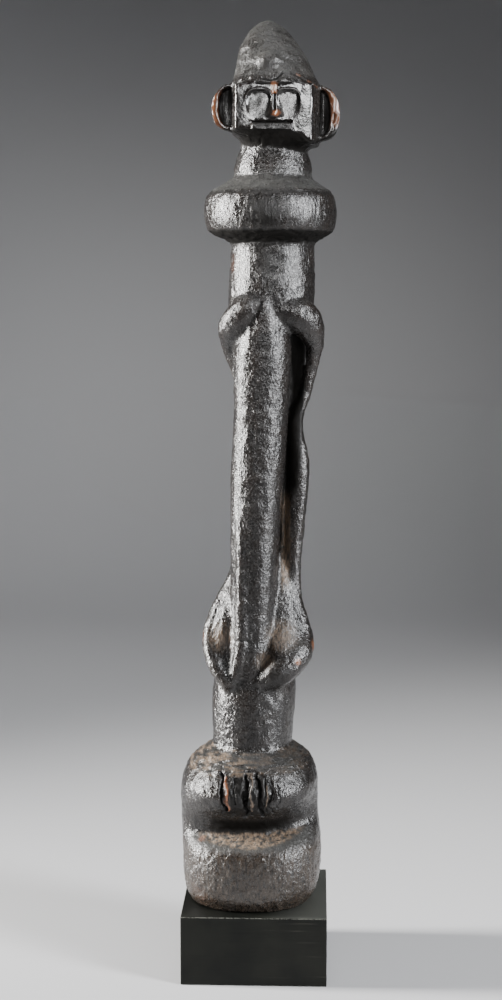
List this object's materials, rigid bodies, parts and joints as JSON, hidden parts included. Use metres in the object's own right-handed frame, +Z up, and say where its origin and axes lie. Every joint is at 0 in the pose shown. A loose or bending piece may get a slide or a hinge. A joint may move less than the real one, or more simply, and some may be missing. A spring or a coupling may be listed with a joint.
{
  "type": "carved standing figure on plinth",
  "caption": "Tall post-like figure carved from one log, with a pointed cap, a wheel collar, thin arms against the body and a cleft foot, standing on a square block plinth.",
  "frame": {"origin": "middle of the plinth's underside", "axes": "+Z up along the figure, -Y the side the face and the foot's cleft look to, +X the side the log leans to"},
  "size_m": [0.0952, 0.088, 0.5727],
  "materials": {
    "carved_wood": "hardwood under a near-black crusted patina, half glossy where it was handled, worn to red-brown on the nose, the ear rims and the hand",
    "plinth_wood": "plain wood, stained black and satin"
  },
  "bodies": {
    "root": {"figure": "carved_wood", "plinth": "plinth_wood"}
  },
  "joints": []
}
